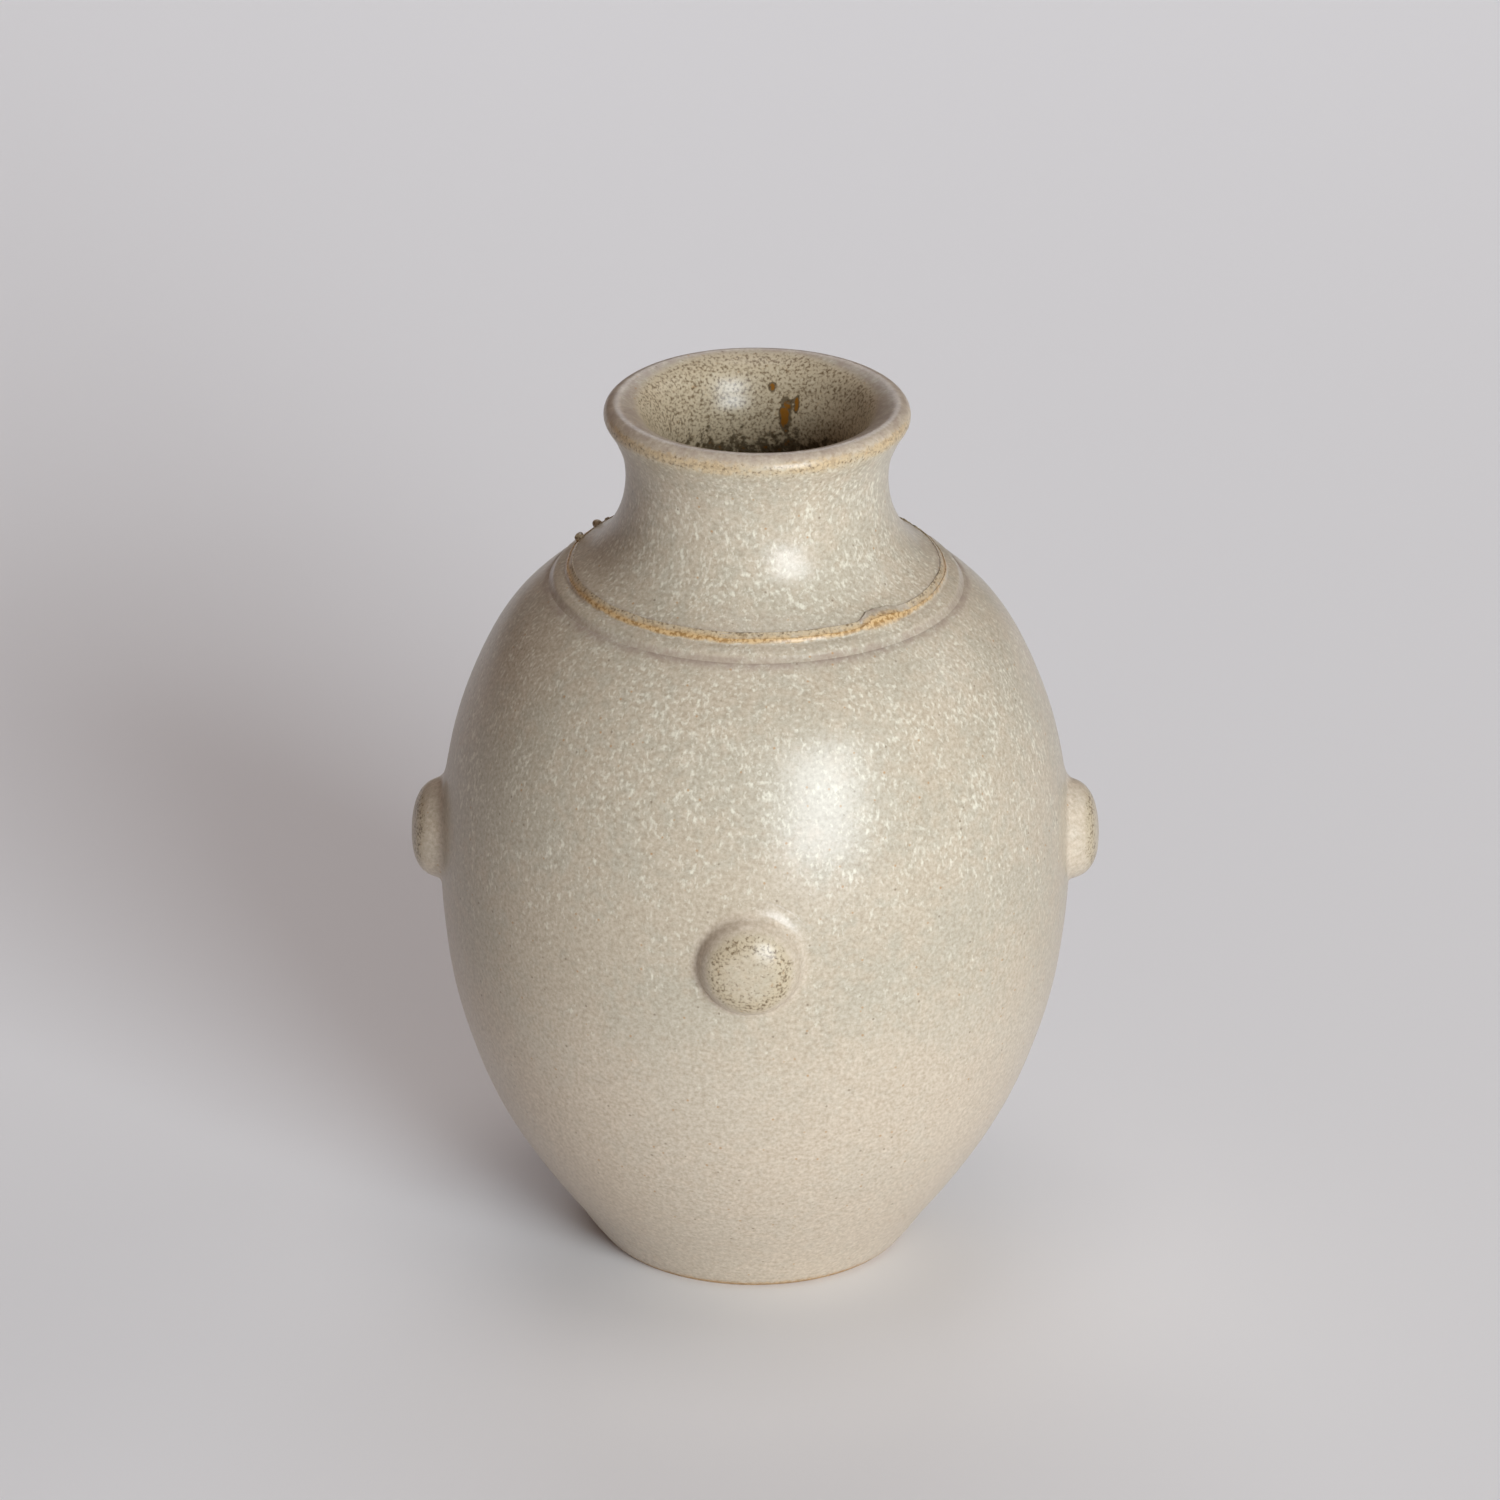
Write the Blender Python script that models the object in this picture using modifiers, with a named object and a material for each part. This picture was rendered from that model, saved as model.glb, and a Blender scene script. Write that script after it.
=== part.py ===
"""A small wheel-thrown stoneware vase, 150 mm tall, as the potter puts it together.

The thrown body has a closed floor, a trimmed foot ring and a rebated opening at the shoulder.
The thrown neck stands in that rebate, a clay ring covers the seam between the two, and four
round clay bosses sit on the belly a quarter turn apart. A thin layer of slip glues the clay
pieces together, and JOINT_GAP leaves its room.

Metres, +Z up. The origin is the middle of the foot, on the surface that the vase stands on.
The front boss faces along -Y. Run with: blender --background --python part.py
"""

import math

import bpy
from mathutils import Matrix, Vector

# Driving dimensions.
HEIGHT = 0.150
BELLY_RADIUS = 0.0526
FOOT_RADIUS = 0.0258
SEAM_HEIGHT = 0.1178
WAIST_RADIUS = 0.0217
WAIST_HEIGHT = 0.1365
LIP_RADIUS = 0.0253
LIP_ROUND = 0.0023
THROAT_RADIUS = 0.0160
WALL = 0.0045
FLOOR = 0.0058
JOINT_GAP = 0.0003

# The belly's outline from the foot to the seam: shares of SEAM_HEIGHT and of BELLY_RADIUS.
BELLY_OUTLINE = (
    (0.000, FOOT_RADIUS / BELLY_RADIUS),
    (0.060, 0.583),
    (0.140, 0.712),
    (0.250, 0.850),
    (0.400, 0.959),
    (0.565, 1.000),
    (0.690, 0.988),
    (0.800, 0.936),
    (0.895, 0.850),
    (0.955, 0.763),
    (1.000, 0.656),
)

# The neck's outside, from the top down: how far above the waist, and how much wider than it.
NECK_OUTLINE = (
    (0.0081, 0.0021),
    (0.0043, 0.0005),
    (0.0000, 0.0000),
    (-0.0043, 0.0005),
    (-0.0078, 0.0017),
    (-0.0105, 0.0033),
    (-0.0132, 0.0057),
)

# The throat, from the bottom up, measured from its own narrowest point in the same way. Its
# last stations are the wide roll of the lip into the mouth.
THROAT_OUTLINE = (
    (-0.0143, 0.0067),
    (-0.0093, 0.0030),
    (-0.0047, 0.0009),
    (0.0000, 0.0000),
    (0.0050, 0.0004),
    (0.0082, 0.0016),
    (0.0104, 0.0026),
    (0.0119, 0.0037),
    (0.0128, 0.0051),
    (0.0133, 0.0063),
)

# The foot, and the curve from the floor into the wall inside.
FOOT_BEVEL = 0.0004
FOOT_RECESS = 0.0012
FOOT_RING_WIDTH = 0.0056
INSIDE_CORNER = 0.0060

# The joint of body, neck and ring at the shoulder.
OPENING_RADIUS = 0.0280
OPENING_EDGE = 0.0016
REBATE_DEPTH = 0.0016
SEAT_RADIUS = 0.0309
SHOULDER_WALL = 0.0084
RING_HEIGHT = 0.0026
RING_CREST_RADIUS = 0.0313
RING_CREST_DROP = 0.0006
NECK_STEP = 0.0008

# The bosses, and the heading that each one faces, in degrees from +X.
BOSS_HEIGHT = 0.0729
BOSS_RADIUS = 0.0082
BOSS_RISE = 0.0048
BOSS_ROOT = 0.0025
BOSS_SQUARENESS = 2.5
BOSS_HEADINGS = {
    "boss_front": -90,
    "boss_right": 0,
    "boss_back": 90,
    "boss_left": 180,
}

# Facets round a turned piece and round a boss, and the points that a curve gets.
TURN_STEPS = 48
BOSS_STEPS = 28
BOSS_RINGS = 7
CURVE_STEPS = 2
MERGE_DISTANCE = 0.00005


def smooth_line(stations):
    """A Catmull-Rom curve through the stations, with CURVE_STEPS points from each to the next."""
    ends = [2 * stations[0] - stations[1], *stations, 2 * stations[-1] - stations[-2]]
    points = []
    for before, start, end, after in zip(ends, ends[1:], ends[2:], ends[3:]):
        slope = end - before
        bend = 2 * before - 5 * start + 4 * end - after
        twist = 3 * start - before - 3 * end + after
        for step in range(CURVE_STEPS):
            t = step / CURVE_STEPS
            points.append(start + 0.5 * (slope * t + bend * t**2 + twist * t**3))
    return [*points, stations[-1]]


def arc(centre, radius, first, last, steps):
    """Points on an arc of a section, from the first angle to the last, in degrees."""
    angles = [math.radians(first + (last - first) * step / steps) for step in range(steps + 1)]
    return [centre + radius * Vector((math.cos(angle), math.sin(angle))) for angle in angles]


def offset_inwards(line, distance):
    """The line moved by distance towards the axis, where the line runs from bottom to top."""
    moved = []
    for index, point in enumerate(line):
        along = line[min(index + 1, len(line) - 1)] - line[max(index - 1, 0)]
        moved.append(point + distance * Vector((-along.y, along.x)).normalized())
    return moved


def belly_line():
    """The outside of the belly from the foot to the seam, as (radius, height) points."""
    stations = [
        Vector((share_out * BELLY_RADIUS, share_up * SEAM_HEIGHT))
        for share_up, share_out in BELLY_OUTLINE
    ]
    return smooth_line(stations)


def glaze(name, colour, roughness):
    """A Principled material of one colour for a glazed piece."""
    material = bpy.data.materials.new(name)
    material.use_nodes = True
    shader = material.node_tree.nodes["Principled BSDF"]
    shader.inputs["Base Color"].default_value = (*colour, 1)
    shader.inputs["Roughness"].default_value = roughness
    shader.inputs["Metallic"].default_value = 0
    return material


def turned(name, section, steps, closed, collection, material):
    """An object turned round its local Z from a section of (radius, height) points.

    The section runs down its outer side. An open one starts and ends on the axis.
    """
    count = len(section)
    edges = [(index, index + 1) for index in range(count - 1)]
    if closed:
        edges.append((count - 1, 0))
    mesh = bpy.data.meshes.new(name)
    mesh.from_pydata([(point.x, 0, point.y) for point in section], edges, [])
    piece = bpy.data.objects.new(name, mesh)
    collection.objects.link(piece)
    mesh.materials.append(material)

    screw = piece.modifiers.new("turn", "SCREW")
    screw.axis = "Z"
    screw.steps = steps
    screw.render_steps = steps
    screw.use_merge_vertices = True
    screw.merge_threshold = MERGE_DISTANCE
    screw.use_smooth_shade = True
    return piece


def body_section():
    """Up the inside from the middle of the floor, over the joint, down the outside to the foot."""
    outer = belly_line()
    floor_top = FOOT_RECESS + FLOOR
    wall_start = floor_top + INSIDE_CORNER / 2
    wall_end = SEAM_HEIGHT - SHOULDER_WALL
    inner = [point for point in offset_inwards(outer, WALL) if wall_start < point.y < wall_end]
    wall_slope = math.atan2(inner[1].y - inner[0].y, inner[1].x - inner[0].x)
    run_out = (inner[0].y - floor_top) / math.tan(wall_slope)
    corner_radius = inner[0].x - run_out - INSIDE_CORNER * math.tan(wall_slope / 2)
    corner_centre = Vector((corner_radius, floor_top + INSIDE_CORNER))
    ledge = SEAM_HEIGHT - REBATE_DEPTH
    inside = [
        Vector((0, floor_top)),
        *arc(corner_centre, INSIDE_CORNER, -90, math.degrees(wall_slope) - 90, 3),
        *inner,
        Vector((OPENING_RADIUS, ledge - OPENING_EDGE)),
    ]
    joint = [
        Vector((OPENING_RADIUS, ledge)),
        Vector((SEAT_RADIUS, ledge)),
        Vector((SEAT_RADIUS, SEAM_HEIGHT)),
    ]
    outside = list(reversed(outer[1:]))
    recess_radius = FOOT_RADIUS - FOOT_RING_WIDTH
    foot = [
        Vector((FOOT_RADIUS, FOOT_BEVEL)),
        Vector((FOOT_RADIUS - FOOT_BEVEL, 0)),
        Vector((recess_radius, 0)),
        Vector((recess_radius - FOOT_RECESS / 2, FOOT_RECESS)),
        Vector((0, FOOT_RECESS)),
    ]
    return inside + joint + outside + foot


def neck_section():
    """Down the outside from the top of the lip, round the foot of the neck, and up the throat."""
    lip_centre = Vector((LIP_RADIUS - LIP_ROUND, HEIGHT - LIP_ROUND))
    foot_radius = SEAT_RADIUS - JOINT_GAP
    foot_height = SEAM_HEIGHT - REBATE_DEPTH + JOINT_GAP
    shoulder_height = SEAM_HEIGHT + RING_HEIGHT + NECK_STEP
    outside = [Vector((WAIST_RADIUS + out, WAIST_HEIGHT + up)) for up, out in NECK_OUTLINE]
    throat = [Vector((THROAT_RADIUS + out, WAIST_HEIGHT + up)) for up, out in THROAT_OUTLINE]
    return [
        *arc(lip_centre, LIP_ROUND, 90, -30, 6),
        *smooth_line([*outside, Vector((foot_radius, shoulder_height))]),
        Vector((foot_radius, foot_height)),
        *smooth_line([Vector((OPENING_RADIUS, foot_height)), *throat]),
    ]


def ring_section():
    """From the inner edge over the sharp crest and down the rounded band to its toe."""
    base = SEAM_HEIGHT + JOINT_GAP
    crest = base + RING_HEIGHT
    seam_radius = BELLY_OUTLINE[-1][1] * BELLY_RADIUS
    toe_radius = seam_radius - JOINT_GAP
    band_width = toe_radius - RING_CREST_RADIUS
    band = [
        Vector((RING_CREST_RADIUS, crest)),
        Vector((RING_CREST_RADIUS + 0.4 * band_width, crest - RING_CREST_DROP)),
        Vector((toe_radius - 0.2 * band_width, base + RING_HEIGHT / 3)),
        Vector((toe_radius, base)),
    ]
    return [
        Vector((SEAT_RADIUS, crest - RING_CREST_DROP)),
        *smooth_line(band),
        Vector((SEAT_RADIUS, base)),
    ]


def boss_section():
    """A pad with a flattened face and round shoulders, from the middle of its face to its root."""
    turns = [math.pi / 2 * ring / BOSS_RINGS for ring in range(BOSS_RINGS + 1)]
    power = 2 / BOSS_SQUARENESS
    pad = [
        Vector((BOSS_RADIUS * math.sin(turn) ** power, BOSS_RISE * math.cos(turn) ** power))
        for turn in turns[:-1]
    ]
    root = [Vector((BOSS_RADIUS, -BOSS_ROOT)), Vector((0, -BOSS_ROOT))]
    return [*pad, Vector((BOSS_RADIUS, 0)), *root]


def wall_cutter(collection, material):
    """The belly's outside grown by the joint gap, which gives each boss its hollow back."""
    outer = list(reversed(offset_inwards(belly_line(), -JOINT_GAP)))
    section = [Vector((0, outer[0].y)), *outer, Vector((0, outer[-1].y))]
    cutter = turned("wall_cutter", section, TURN_STEPS, False, collection, material)
    cutter.hide_render = True
    cutter.display_type = "WIRE"
    return cutter


def boss(name, heading, cutter, collection, material):
    """One boss on the belly, facing out along its heading, its back fitted to the wall."""
    piece = turned(name, boss_section(), BOSS_STEPS, False, collection, material)
    outwards = Matrix.Rotation(math.radians(heading), 4, "Z")
    place = Matrix.Translation((BELLY_RADIUS, 0, BOSS_HEIGHT))
    facing = Matrix.Rotation(math.radians(90), 4, "Y")
    piece.matrix_world = outwards @ place @ facing
    fit = piece.modifiers.new("fit_to_wall", "BOOLEAN")
    fit.operation = "DIFFERENCE"
    fit.object = cutter
    return piece


def build():
    for leftover in list(bpy.data.objects):
        bpy.data.objects.remove(leftover)
    vase = bpy.data.collections.new("stoneware_vase")
    cutters = bpy.data.collections.new("cutters")
    bpy.context.scene.collection.children.link(vase)
    bpy.context.scene.collection.children.link(cutters)

    speckled = glaze("speckled_glaze", (0.52, 0.46, 0.36), 0.3)
    ring_glaze = glaze("ring_glaze", (0.58, 0.42, 0.25), 0.35)
    boss_glaze = glaze("boss_glaze", (0.57, 0.48, 0.34), 0.3)

    turned("body", body_section(), TURN_STEPS, False, vase, speckled)
    turned("neck", neck_section(), TURN_STEPS, True, vase, speckled)
    turned("shoulder_ring", ring_section(), TURN_STEPS, True, vase, ring_glaze)
    cutter = wall_cutter(cutters, speckled)
    for name, heading in BOSS_HEADINGS.items():
        boss(name, heading, cutter, vase, boss_glaze)


build()
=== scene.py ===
# %% [markdown]
# # A small stoneware vase, thrown on the wheel and dipped in a speckled glaze
#
# The vase is already modelled plainly: a thrown body, a thrown neck, a ring over their seam
# and four bosses, each a coarse closed solid of the right size. This lesson gives those
# solids the surface of a fired pot. Each plain solid is measured, turned again with a fine
# and slightly uneven wall, and coated with one glaze that changes as it runs, breaks over
# the edges and gathers in the hollows.

# %% Load the plain model
import math

import bmesh
import bpy
from mathutils import Matrix, Quaternion, Vector, noise
from mathutils.bvhtree import BVHTree
from mathutils.geometry import interpolate_bezier


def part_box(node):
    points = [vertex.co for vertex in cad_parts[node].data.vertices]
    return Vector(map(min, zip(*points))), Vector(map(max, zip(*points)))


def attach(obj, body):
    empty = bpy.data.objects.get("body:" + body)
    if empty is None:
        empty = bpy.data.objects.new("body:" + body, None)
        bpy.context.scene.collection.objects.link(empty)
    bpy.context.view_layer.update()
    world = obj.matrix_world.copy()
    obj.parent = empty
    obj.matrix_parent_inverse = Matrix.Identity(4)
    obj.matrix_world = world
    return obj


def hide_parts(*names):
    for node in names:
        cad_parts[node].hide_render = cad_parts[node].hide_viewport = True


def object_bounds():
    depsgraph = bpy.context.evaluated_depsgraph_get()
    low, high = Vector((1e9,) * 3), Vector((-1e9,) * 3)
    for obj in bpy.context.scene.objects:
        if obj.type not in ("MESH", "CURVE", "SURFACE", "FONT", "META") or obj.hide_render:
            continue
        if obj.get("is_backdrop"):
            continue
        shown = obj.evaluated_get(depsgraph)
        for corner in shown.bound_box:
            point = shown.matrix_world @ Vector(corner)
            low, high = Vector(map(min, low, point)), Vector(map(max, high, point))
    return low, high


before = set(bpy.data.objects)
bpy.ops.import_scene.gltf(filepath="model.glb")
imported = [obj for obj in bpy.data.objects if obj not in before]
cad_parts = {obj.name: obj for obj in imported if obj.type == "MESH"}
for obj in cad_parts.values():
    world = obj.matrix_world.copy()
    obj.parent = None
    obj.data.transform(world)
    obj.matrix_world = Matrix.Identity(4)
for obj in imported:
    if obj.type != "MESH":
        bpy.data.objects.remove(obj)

cad_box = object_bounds()
MM = 0.001
print(f"the plain model is {cad_box[1].z / MM:.0f} mm tall")

# %% [markdown]
# ## The section of a turned piece
#
# A potter's section drawing shows one side of a pot cut through its middle, and it holds
# the whole shape of a turned piece. A cut through the plain solid gives that drawing:
# `bisect_plane` with both sides cleared leaves only the cut line. A plane a hair away from
# the middle passes through faces and not along their edges, so the line has no breaks.

# %% Cut a plain solid and walk along its section
CUT_OFFSET = 0.002 * MM
ON_THE_PLANE = 0.0001 * MM
SAME_POINT = 0.01 * MM
SAME_CUT_POINT = 0.06 * MM


def section_of(node_name):
    """The points of a turned solid's section on its +X side, in order from its lowest point."""
    bm = bmesh.new()
    bm.from_mesh(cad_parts[node_name].data)
    bmesh.ops.remove_doubles(bm, verts=bm.verts, dist=SAME_POINT)
    bmesh.ops.bisect_plane(
        bm,
        geom=bm.verts[:] + bm.edges[:] + bm.faces[:],
        dist=ON_THE_PLANE,
        plane_co=(0, CUT_OFFSET, 0),
        plane_no=(0, 1, 0),
        clear_inner=True,
        clear_outer=True,
    )
    other_side = [vert for vert in bm.verts if vert.co.x < -SAME_POINT]
    bmesh.ops.delete(bm, geom=other_side, context="VERTS")
    bmesh.ops.remove_doubles(bm, verts=bm.verts, dist=SAME_CUT_POINT)

    ends = [vert for vert in bm.verts if len(vert.link_edges) == 1]
    here = min(ends or bm.verts, key=lambda vert: vert.co.z)
    start, came_by, points = here, None, []
    while here is not start or came_by is None:
        points.append(Vector((here.co.x, 0, here.co.z)))
        onward = [edge for edge in here.link_edges if edge is not came_by]
        if not onward:
            break
        came_by = onward[0]
        here = came_by.other_vert(here)
    is_loop = not ends
    bm.free()
    return points + points[:1] if is_loop else points


sections = {name: section_of(name) for name in ("body", "neck", "shoulder_ring")}
for name, points in sections.items():
    print(f"{name}: a section of {len(points)} points")

# %% [markdown]
# ## From a coarse section to a smooth wall
#
# The plain section is a chain of short straight spans. A curve through its points gives the
# smooth wall that fingers leave in wet clay. The sharp corners have to stay sharp, so the
# curve only rounds a bend gentler than a limit, and a Bezier span whose handles are a third
# of its length keeps close to the chain. Spinning the finer section round the wheel's axis
# then makes the piece, and the doubled points of the seam and the poles are merged.

# %% Smooth a section and spin it
SHARPEST_BEND = math.radians(34)
SAME_SPUN_POINT = 0.005 * MM


def bend_direction(span, neighbour):
    """The way the curve runs where two spans meet, or the span's own way at a sharp corner."""
    if span.angle(neighbour) > SHARPEST_BEND:
        return span.normalized()
    return (span + neighbour).normalized()


def smooth_section(points, spacing):
    """A curve through the points, with steps no longer than spacing(point) says."""
    spans = [end - start for start, end in zip(points, points[1:])]
    befores = [spans[0], *spans]
    afters = [*spans[1:], spans[-1]]
    line = []
    for start, span, before, after in zip(points, spans, befores, afters):
        end = start + span
        handle = span.length / 3
        leaving = start + handle * bend_direction(span, before)
        arriving = end - handle * bend_direction(span, after)
        steps = max(1, math.ceil(span.length / spacing((start + end) / 2)))
        line += interpolate_bezier(start, leaving, arriving, end, steps + 1)[:-1]
    return [*line, points[-1]]


def spin_section(line, steps):
    """A bmesh of the section turned once round the Z axis."""
    bm = bmesh.new()
    verts = [bm.verts.new(point) for point in line]
    edges = [bm.edges.new(pair) for pair in zip(verts, verts[1:])]
    bmesh.ops.spin(
        bm,
        geom=verts + edges,
        cent=(0, 0, 0),
        axis=(0, 0, 1),
        angle=math.tau,
        steps=steps,
        use_merge=True,
    )
    bmesh.ops.remove_doubles(bm, verts=bm.verts, dist=SAME_SPUN_POINT)
    bmesh.ops.recalc_face_normals(bm, faces=bm.faces)
    bm.normal_update()
    return bm


# %% [markdown]
# ## Two small rulers
#
# Almost everything on a turned pot depends on a height or on a heading round its axis. A
# soft step between two values is the tool for both: it is 0 before the first, 1 past the
# second and smooth between them, and it works either way up.

# %% Soft steps and headings
SEED_STRIDE = (17.3, 5.1, 9.7)


def soft_step(value, start, end):
    """0 up to start, 1 from end on, and a smooth change between them."""
    share = min(1, max(0, (value - start) / (end - start)))
    return share * share * (3 - 2 * share)


def bump_at(value, centre, width):
    """1 at the centre, falling smoothly towards 0 a width or two away."""
    return math.exp(-(((value - centre) / width) ** 2))


def turned_place(co):
    """Distance from the axis, heading in degrees from +X towards +Y, and height."""
    return math.hypot(co.x, co.y), math.degrees(math.atan2(co.y, co.x)), co.z


def turn_between(heading, other):
    """The angle between two headings, from 0 to 180 degrees."""
    return abs((heading - other + 180) % 360 - 180)


def ripple(co, size, seed=0):
    """Smooth noise from -1 to 1 whose lumps are about as big as size."""
    return noise.noise(co / size + Vector([seed * stride for stride in SEED_STRIDE]))


print("a soft step from 0 to 4:", [round(soft_step(value, 0, 4), 2) for value in range(5)])


# %% [markdown]
# ## Where the glaze changes
#
# The glaze follows the shape, so each point of the mesh carries four shares, kept as the
# four channels of one colour attribute named `glaze`:
#
# - red, how thin it has run, which lets the orange clay through
# - green, how thick it is, so how curdled with cream crystals; where it is thin the ground
#   is paler, which low on the body is partly painted bounce light from the floor
# - blue, how far it is turned purple-brown: where it gathers in a groove, as painted shade in
#   the crease between the neck and the ring and inside the body, and as a painted pink-grey
#   sheen on the lip
# - alpha, how much iron it has taken up, as in the mouth and round a boss, and more than 1
#   inside an iron drip; it is also raised over 1 deep in the mouth and inside the body, where
#   it darkens the glaze as painted shade
#
# A painted attribute is better than an unwrapped one here: it needs no seams, and it bends
# with the surface. The same function makes the object, hangs it on the root of the frame,
# and hides the plain solid that it stands for.

# %% Paint the shares and finish a piece
SHARP_EDGE = math.radians(60)


def finish_piece(bm, name, node_name, materials, paint):
    """Makes the object from bm, with its glaze shares from paint(place, normal)."""
    layer = bm.verts.layers.float_color.new("glaze")
    for vert in bm.verts:
        vert[layer] = paint(vert.co, vert.normal)
    mesh = bpy.data.meshes.new(name)
    bm.to_mesh(mesh)
    bm.free()
    mesh.shade_smooth()
    mesh.set_sharp_from_angle(angle=SHARP_EDGE)
    for material in materials:
        mesh.materials.append(material)
    piece = bpy.data.objects.new(name, mesh)
    bpy.context.scene.collection.objects.link(piece)
    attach(piece, "root")
    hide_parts(node_name)
    print(f"{name}: {len(mesh.polygons)} faces")


# %% [markdown]
# ## Tools for a material
#
# A colour is easiest to read as sRGB hex, and Blender mixes linear light, so one function
# turns the first into the second. Another adds any node, sets its settings, and links or
# fills its inputs. With the two of them a material reads from top to bottom as a recipe.

# %% Colours and nodes


def linear(hex_colour):
    """An sRGB colour such as "#C8BCA8" as the linear RGBA that Blender mixes."""
    shares = [int(hex_colour[index : index + 2], 16) / 255 for index in (1, 3, 5)]
    return (*(c / 12.92 if c <= 0.04045 else ((c + 0.055) / 1.055) ** 2.4 for c in shares), 1)


def add(tree, kind, inputs=None, output=0, **settings):
    """Adds a node with its settings, links or fills its inputs, and gives one output."""
    node = tree.nodes.new("ShaderNode" + kind)
    for name, value in settings.items():
        setattr(node, name, value)
    for name, value in (inputs or {}).items():
        if isinstance(value, bpy.types.NodeSocket):
            tree.links.new(value, node.inputs[name])
        else:
            node.inputs[name].default_value = value
    return node.outputs[output] if node.outputs else node


print("middle grey in linear light:", round(linear("#808080")[0], 3))


# %% [markdown]
# ## The ground of the glaze
#
# The pot is stoneware under a satin ash glaze, dipped, then fired in reduction. Its ground
# is a grey-beige glass full of fine crystals. The thickness of the dip makes it drift over
# centimetres between green-grey and pink-tan, and the crystals give it a mottle of about
# 2 mm and a grain of about 0.7 mm.
#
# Every noise gets the size of the mark that it draws, because the coordinates that reach
# it are in millimetres.

# %% The ground
GROUND_GREEN_GREY = "#C3B9A6"
GROUND_PINK_TAN = "#C9BBA6"
GROUND_THIN_AND_BOUNCE_LIT = "#DFCEBA"
GRAIN_SHADE = "#C9C1B7"
DRIFT_SIZE = 20
MOTTLE_SIZE = 2.2
GRAIN_SIZE = 0.66
MOTTLE_SHARE = 0.45
SMOOTH = {"interpolation_type": "SMOOTHSTEP"}
COLOUR = {"data_type": "RGBA"}


def glaze_ground(tree, still, thickness):
    """The colour of the ground, its mottle and its grain."""
    drift = add(tree, "TexNoise", {"Vector": still, "Scale": 1 / DRIFT_SIZE, "Detail": 2.0})
    mottle = add(tree, "TexNoise", {"Vector": still, "Scale": 1 / MOTTLE_SIZE, "Detail": 3.0})
    tone = add(tree, "Mix", {0: MOTTLE_SHARE, 2: drift, 3: mottle})
    tone = add(tree, "MapRange", {"Value": tone, "From Min": 0.4, "From Max": 0.6}, **SMOOTH)
    green_grey, pink_tan = linear(GROUND_GREEN_GREY), linear(GROUND_PINK_TAN)
    ground = add(tree, "Mix", {0: tone, 6: green_grey, 7: pink_tan}, 2, **COLOUR)
    # Where the glaze is thin the ground is paler; low on the body this paler ground also stands in
    # for light bounced up from the floor, as painted bounce light.
    pale = add(
        tree,
        "MapRange",
        {"Value": thickness, "From Min": 0.55, "From Max": 0.2, "To Max": 0.45},
        **SMOOTH,
    )
    ground = add(tree, "Mix", {0: pale, 6: ground, 7: linear(GROUND_THIN_AND_BOUNCE_LIT)}, 2, **COLOUR)
    grain = add(
        tree,
        "TexNoise",
        {"Vector": still, "Scale": 1 / GRAIN_SIZE, "Detail": 3.0, "Roughness": 0.62},
    )
    shade = add(tree, "MapRange", {"Value": grain, "From Min": 0.2, "From Max": 0.8})
    shade = add(tree, "Mix", {0: shade, 6: linear(GRAIN_SHADE), 7: linear("#FFFFFF")}, 2, **COLOUR)
    ground = add(tree, "Mix", {0: 1.0, 6: ground, 7: shade}, 2, blend_type="MULTIPLY", **COLOUR)
    return ground, mottle, grain


# %% [markdown]
# ## Cream crystals
#
# Where the glaze is thick it curdles: cream crystals about 0.6 mm across gather in loose
# clumps and are drawn downwards as the glaze runs. A noise over a threshold gives such
# blots, and a threshold that moves with a slower noise gathers them in clumps. The green
# share lowers the threshold all over, so that one recipe gives the thick glaze of the
# shoulder and the thin one near the foot. Each blot has a thin veil round a brighter core.

# %% The crystals
CRYSTAL_CREAM = "#DDD6C2"
CRYSTAL_SIZE = 0.66
CLUMP_SIZE = 4.5
THRESHOLD_WHERE_BARE = 0.73
THRESHOLD_WHERE_THICK = 0.49
CRYSTAL_STRENGTH = 0.46
CLUMPING = 0.7
VEIL_WIDTH = 0.15
CORE_WIDTH = 0.06
CORE_GAIN = 1.6


def cream_crystals(tree, run, thickness, colour):
    """The colour with its crystals, and the share of crystal."""
    field = add(tree, "TexNoise", {"Vector": run, "Scale": 1 / CRYSTAL_SIZE, "Detail": 3.0})
    clumps = add(tree, "TexNoise", {"Vector": run, "Scale": 1 / CLUMP_SIZE, "Detail": 2.0})
    clumps = add(tree, "MapRange", {"Value": clumps, "To Min": -CLUMPING, "To Max": CLUMPING})
    amount = add(tree, "Math", {0: thickness, 1: clumps}, operation="ADD")
    low = add(
        tree,
        "MapRange",
        {"Value": amount, "To Min": THRESHOLD_WHERE_BARE, "To Max": THRESHOLD_WHERE_THICK},
    )
    high = add(tree, "Math", {0: low, 1: VEIL_WIDTH}, operation="ADD")
    veil = add(
        tree,
        "MapRange",
        {"Value": field, "From Min": low, "From Max": high, "To Max": CRYSTAL_STRENGTH},
        **SMOOTH,
    )
    higher = add(tree, "Math", {0: high, 1: CORE_WIDTH}, operation="ADD")
    core = add(
        tree,
        "MapRange",
        {"Value": field, "From Min": high, "From Max": higher, "To Min": 1.0, "To Max": CORE_GAIN},
        **SMOOTH,
    )
    crystal = add(tree, "Math", {0: veil, 1: core}, operation="MULTIPLY", use_clamp=True)
    return add(tree, "Mix", {0: crystal, 6: colour, 7: linear(CRYSTAL_CREAM)}, 2, **COLOUR), crystal


# %% [markdown]
# ## Iron
#
# Iron out of the clay makes three marks. All over the pot lie a few specks about half a
# millimetre across, some dark and some orange: each cell of a Voronoi pattern holds one
# speck at most, and the cell's own random colour decides whether it has one. In the mouth
# and round the bosses the glaze turns yellow, and rust and brown specks crowd it. And down
# the inside of the mouth run a few drips of pure iron, dark at the edge and orange within.

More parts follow.
